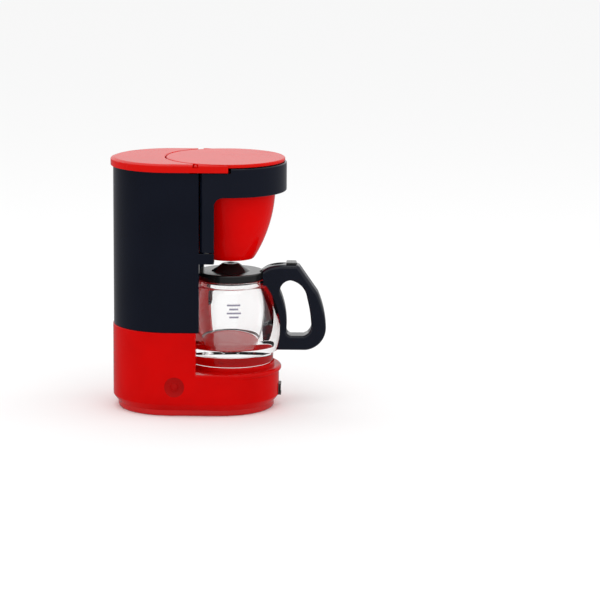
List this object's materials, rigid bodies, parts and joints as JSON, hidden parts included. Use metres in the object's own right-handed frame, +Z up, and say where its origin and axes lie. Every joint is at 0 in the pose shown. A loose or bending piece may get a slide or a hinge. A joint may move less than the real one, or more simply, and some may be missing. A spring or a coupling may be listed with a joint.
{
  "type": "toy coffee maker",
  "caption": "Miniature toy drip coffee maker: red base with tray, dark tank column, swing-out filter holder, red lid and clear carafe with handle.",
  "frame": {"origin": "on the ground under the middle of the straight part of the base", "axes": "+Z up, -Y to the front where the carafe handle points, X across"},
  "size_m": [0.0294, 0.0514, 0.0602],
  "materials": {
    "red_plastic": "glossy injection-moulded red plastic",
    "lid_plastic": "polished red plastic",
    "basket_plastic": "satin-gloss deep red plastic",
    "navy_plastic": "glossy blue-black moulded plastic",
    "black_plastic": "glossy black plastic",
    "switch_plastic": "dark grey plastic",
    "clear_plastic": "clear moulded plastic",
    "screw_steel": "zinc-plated steel",
    "pin_steel": "drawn steel"
  },
  "bodies": {
    "machine": {"base_housing": "red_plastic", "bottom_cover": "red_plastic", "cover_screws": "screw_steel", "column_screws": "screw_steel", "column_shell": "navy_plastic", "hinge_pin": "pin_steel"},
    "switch": {"power_switch": "switch_plastic"},
    "holder": {"filter_holder": "navy_plastic", "filter_basket": "basket_plastic"},
    "top_lid": {"tank_lid": "lid_plastic"},
    "brew_cover": {"filter_cover": "lid_plastic"},
    "carafe": {"carafe_glass": "clear_plastic", "carafe_lid": "black_plastic", "carafe_handle": "navy_plastic", "lid_pin": "pin_steel"}
  },
  "joints": [
    {"name": "carafe_pull", "type": "slide", "parent": "machine", "child": "carafe", "axis": [0, -1, 0], "range_m": [0, 0.05]},
    {"name": "holder_swing", "type": "hinge", "parent": "machine", "child": "holder", "pos_m": [-0.0125, -0.00275, 0.0393], "axis": [0, 0, -1], "range_deg": [0, 90]},
    {"name": "lid_lift", "type": "slide", "parent": "machine", "child": "top_lid", "axis": [0, 0, 1], "range_m": [0, 0.015]},
    {"name": "cover_tilt", "type": "hinge", "parent": "top_lid", "child": "brew_cover", "pos_m": [0, -0.0003, 0.0593], "axis": [-1, 0, 0], "range_deg": [0, 40]},
    {"name": "switch_rock", "type": "hinge", "parent": "machine", "child": "switch", "pos_m": [0, -0.01875, 0.0042], "axis": [1, 0, 0], "range_deg": [-6, 6]}
  ]
}
